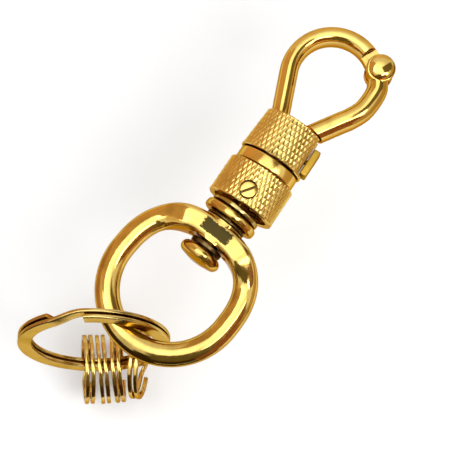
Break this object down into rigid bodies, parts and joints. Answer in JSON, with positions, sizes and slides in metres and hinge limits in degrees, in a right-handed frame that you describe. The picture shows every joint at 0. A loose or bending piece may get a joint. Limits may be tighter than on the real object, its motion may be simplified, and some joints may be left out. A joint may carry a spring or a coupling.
{
  "type": "swivel key clasp",
  "caption": "Brass swivel key clasp: hook loop with a hinged gate, a knurled twist lock sleeve and collar, and a turning bow that carries a split key ring with small split rings.",
  "frame": {"origin": "inside of the hook loop's curve, on the clasp's axis, where the clasp hangs from a strap or a ring", "axes": "+Y along the clasp's axis towards the hook, +X towards the gate and the thumb tab, +Z out of the hook's plane, on the side of the collar's screw"},
  "size_m": [0.042, 0.1059, 0.0453],
  "materials": {
    "hook_brass": "polished",
    "rivet_brass": "polished",
    "washer_bronze": "satin",
    "band_brass": "polished",
    "collar_brass": "knurled, satin",
    "screw_brass": "polished",
    "stem_brass": "polished",
    "disc_brass": "polished",
    "bead_brass": "polished",
    "neck_brass": "darkened",
    "button_washer_brass": "darkened",
    "gate_brass": "polished",
    "sleeve_brass": "knurled, satin",
    "tab_brass": "matte",
    "tab_pin_brass": "polished",
    "bow_brass": "polished",
    "key_ring_brass": "polished",
    "small_ring_brass": "polished"
  },
  "bodies": {
    "clasp_body": {"hook_frame": "hook_brass", "gate_rivet": "rivet_brass", "wave_washer": "washer_bronze", "guide_band": "band_brass", "lower_collar": "collar_brass", "collar_screw": "screw_brass", "swivel_stem": "stem_brass", "swivel_disc": "disc_brass", "swivel_bead": "bead_brass", "neck_washer": "neck_brass", "button_washer": "button_washer_brass"},
    "gate": {"gate_arm": "gate_brass"},
    "sleeve": {"lock_sleeve": "sleeve_brass", "thumb_tab": "tab_brass", "tab_pin": "tab_pin_brass"},
    "bow": {"bow": "bow_brass"},
    "key_ring": {"key_ring": "key_ring_brass"},
    "small_ring_1": {"small_ring_1": "small_ring_brass"},
    "small_ring_2": {"small_ring_2": "small_ring_brass"},
    "small_ring_3": {"small_ring_3": "small_ring_brass"},
    "small_ring_4": {"small_ring_4": "small_ring_brass"}
  },
  "joints": [
    {"name": "gate_swing", "type": "hinge", "parent": "clasp_body", "child": "gate", "pos_m": [0.00939, -0.00037, 0], "axis": [0, 0, 1], "range_deg": [0, 80]},
    {"name": "sleeve_turn", "type": "hinge", "parent": "clasp_body", "child": "sleeve", "pos_m": [0, -0.02761, 0], "axis": [0, -1, 0], "range_deg": [0, 90]},
    {"name": "bow_swivel", "type": "hinge", "parent": "clasp_body", "child": "bow", "pos_m": [0, -0.04236, 0], "axis": [0.0872, 0.9962, 0], "continuous": true},
    {"name": "key_ring_swing", "type": "hinge", "parent": "bow", "child": "key_ring", "pos_m": [-0.0077, -0.0834, 0], "axis": [0.93, -0.3675, 0], "range_deg": [-160, 60]},
    {"name": "small_ring_1_swing", "type": "hinge", "parent": "key_ring", "child": "small_ring_1", "pos_m": [-0.01114, -0.09333, -0.02354], "axis": [0.7909, 0.596, -0.1387], "range_deg": [-35, 35]},
    {"name": "small_ring_2_swing", "type": "hinge", "parent": "key_ring", "child": "small_ring_2", "pos_m": [-0.00848, -0.09158, -0.02369], "axis": [0.7642, 0.6413, -0.0689], "range_deg": [-35, 35]},
    {"name": "small_ring_3_swing", "type": "hinge", "parent": "key_ring", "child": "small_ring_3", "pos_m": [-0.00573, -0.08955, -0.02315], "axis": [0.7771, 0.6293, 0.0074], "range_deg": [-35, 35]},
    {"name": "small_ring_4_swing", "type": "hinge", "parent": "key_ring", "child": "small_ring_4", "pos_m": [-0.00194, -0.08625, -0.02085], "axis": [0.8835, 0.4502, 0.1292], "range_deg": [-35, 35]}
  ]
}
